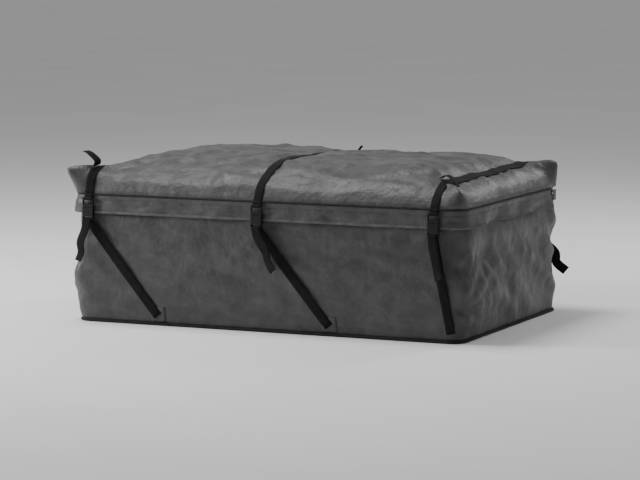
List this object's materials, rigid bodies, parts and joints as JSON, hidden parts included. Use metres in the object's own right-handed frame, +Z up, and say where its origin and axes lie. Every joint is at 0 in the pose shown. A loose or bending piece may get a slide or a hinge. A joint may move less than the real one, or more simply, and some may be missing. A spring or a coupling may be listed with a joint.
{
  "type": "soft rooftop cargo bag",
  "caption": "Soft rectangular rooftop cargo bag with a domed zip-round lid, a rain flap over the zip and side-release buckle tie-down straps.",
  "frame": {"origin": "middle of the base, on the surface that the bag rests on", "axes": "+X along the bag towards the vehicle's rear, -Y the near long side, +Z up"},
  "size_m": [1.123, 0.7585, 0.4367],
  "materials": {
    "coated_fabric": "woven polyester with a satin waterproof coating",
    "webbing": "flat woven webbing",
    "buckle_plastic": "moulded, satin",
    "zip_tape": "knitted tape",
    "zip_coil": "nylon coil",
    "zip_metal": "black enamel",
    "binding": "folded grosgrain"
  },
  "bodies": {
    "tub": {"base_panel": "coated_fabric", "base_piping": "binding", "near_wall": "coated_fabric", "far_wall": "coated_fabric", "front_wall": "coated_fabric", "rear_wall": "coated_fabric", "lower_zip_tape": "zip_tape", "lower_zip_coil": "zip_coil", "zip_end_tabs": "coated_fabric", "near_buckle_sockets": "buckle_plastic", "far_buckle_sockets": "buckle_plastic", "near_tie_down_straps": "webbing", "far_tie_down_straps": "webbing", "far_strap_drops": "webbing", "anchor_patches": "coated_fabric"},
    "lid": {"lid_panel": "coated_fabric", "lid_skirt": "coated_fabric", "storm_flap": "coated_fabric", "flap_binding": "binding", "rim_piping": "binding", "upper_zip_tape": "zip_tape", "upper_zip_coil": "zip_coil", "lid_straps": "webbing"},
    "near_front_plug": {"near_front_plug": "buckle_plastic", "near_front_plug_web": "webbing"},
    "near_middle_plug": {"near_middle_plug": "buckle_plastic", "near_middle_plug_web": "webbing"},
    "near_rear_plug": {"near_rear_plug": "buckle_plastic", "near_rear_plug_web": "webbing"},
    "far_front_plug": {"far_front_plug": "buckle_plastic", "far_front_plug_web": "webbing"},
    "far_middle_plug": {"far_middle_plug": "buckle_plastic", "far_middle_plug_web": "webbing"},
    "far_rear_plug": {"far_rear_plug": "buckle_plastic", "far_rear_plug_web": "webbing"},
    "front_zip_slider": {"front_zip_slider": "zip_metal"},
    "front_zip_pull": {"front_zip_pull": "zip_metal"},
    "rear_zip_slider": {"rear_zip_slider": "zip_metal"},
    "rear_zip_pull": {"rear_zip_pull": "zip_metal"}
  },
  "joints": [
    {"name": "lid_hinge", "type": "hinge", "parent": "tub", "child": "lid", "pos_m": [0, 0.36, 0.344], "axis": [-1, 0, 0], "range_deg": [0, 100]},
    {"name": "near_front_plug_slide", "type": "slide", "parent": "lid", "child": "near_front_plug", "axis": [0, 0, 1], "range_m": [0, 0.028]},
    {"name": "near_middle_plug_slide", "type": "slide", "parent": "lid", "child": "near_middle_plug", "axis": [0, 0, 1], "range_m": [0, 0.028]},
    {"name": "near_rear_plug_slide", "type": "slide", "parent": "lid", "child": "near_rear_plug", "axis": [0, 0, 1], "range_m": [0, 0.028]},
    {"name": "far_front_plug_slide", "type": "slide", "parent": "tub", "child": "far_front_plug", "axis": [0, 0, 1], "range_m": [0, 0.028]},
    {"name": "far_middle_plug_slide", "type": "slide", "parent": "tub", "child": "far_middle_plug", "axis": [0, 0, 1], "range_m": [0, 0.028]},
    {"name": "far_rear_plug_slide", "type": "slide", "parent": "tub", "child": "far_rear_plug", "axis": [0, 0, 1], "range_m": [0, 0.028]},
    {"name": "front_zip_slide", "type": "slide", "parent": "tub", "child": "front_zip_slider", "axis": [0, -1, 0], "range_m": [0, 0.6]},
    {"name": "front_pull_swing", "type": "hinge", "parent": "front_zip_slider", "child": "front_zip_pull", "pos_m": [-0.5558, 0.316, 0.3192], "axis": [0, 0, 1], "range_deg": [-80, 0]},
    {"name": "rear_zip_slide", "type": "slide", "parent": "tub", "child": "rear_zip_slider", "axis": [0, -1, 0], "range_m": [0, 0.6]},
    {"name": "rear_pull_swing", "type": "hinge", "parent": "rear_zip_slider", "child": "rear_zip_pull", "pos_m": [0.5558, 0.316, 0.3192], "axis": [0, 0, -1], "range_deg": [-80, 0]}
  ]
}
